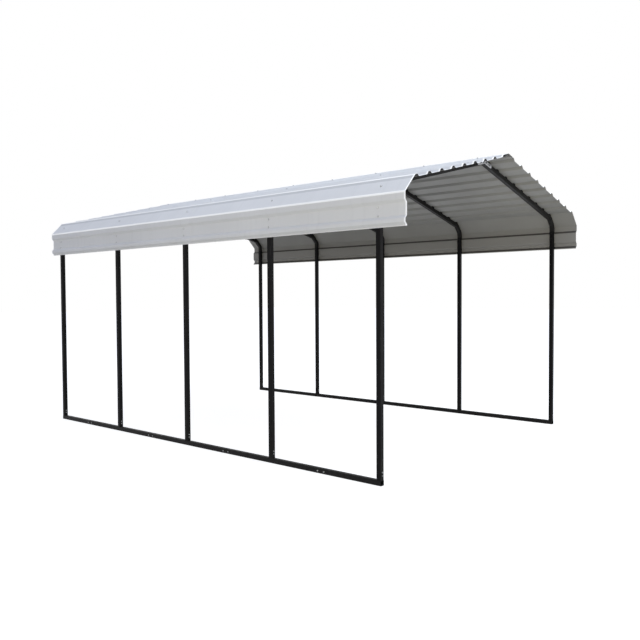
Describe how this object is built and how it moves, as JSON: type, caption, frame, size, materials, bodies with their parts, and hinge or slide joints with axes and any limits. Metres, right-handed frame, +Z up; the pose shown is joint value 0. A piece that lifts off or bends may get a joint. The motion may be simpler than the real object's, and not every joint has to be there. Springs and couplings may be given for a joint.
{
  "type": "carport",
  "caption": "Open-sided carport: bent square-tube frames on base rails carry a ribbed sheet roof with folded eaves, upright fascias and a ridge cap.",
  "frame": {"origin": "on the ground under the middle of the roof's length and width", "axes": "+X to the right as seen from the open front, +Y along the length from front to rear, +Z up"},
  "size_m": [3.048, 4.572, 2.4706],
  "materials": {
    "frame_tube": "satin black",
    "roof_sheet": "satin eggshell",
    "bracket": "galvanised"
  },
  "bodies": {
    "root": {"left_base_rail_1": "frame_tube", "left_base_rail_2": "frame_tube", "left_base_rail_3": "frame_tube", "left_base_rail_4": "frame_tube", "left_base_rail_5": "frame_tube", "left_leg_1": "frame_tube", "left_leg_2": "frame_tube", "left_leg_3": "frame_tube", "left_leg_4": "frame_tube", "left_leg_5": "frame_tube", "left_rafter_1": "frame_tube", "left_rafter_2": "frame_tube", "left_rafter_3": "frame_tube", "left_rafter_4": "frame_tube", "left_rafter_5": "frame_tube", "right_base_rail_1": "frame_tube", "right_base_rail_2": "frame_tube", "right_base_rail_3": "frame_tube", "right_base_rail_4": "frame_tube", "right_base_rail_5": "frame_tube", "right_leg_1": "frame_tube", "right_leg_2": "frame_tube", "right_leg_3": "frame_tube", "right_leg_4": "frame_tube", "right_leg_5": "frame_tube", "right_rafter_1": "frame_tube", "right_rafter_2": "frame_tube", "right_rafter_3": "frame_tube", "right_rafter_4": "frame_tube", "right_rafter_5": "frame_tube", "ridge_bracket_1": "bracket", "ridge_bracket_2": "bracket", "ridge_bracket_3": "bracket", "ridge_bracket_4": "bracket", "ridge_bracket_5": "bracket", "front_left_eave_sheet": "roof_sheet", "front_left_upper_sheet": "roof_sheet", "front_right_eave_sheet": "roof_sheet", "front_right_upper_sheet": "roof_sheet", "front_ridge_cap": "roof_sheet", "rear_left_eave_sheet": "roof_sheet", "rear_left_upper_sheet": "roof_sheet", "rear_right_eave_sheet": "roof_sheet", "rear_right_upper_sheet": "roof_sheet", "rear_ridge_cap": "roof_sheet"}
  },
  "joints": []
}
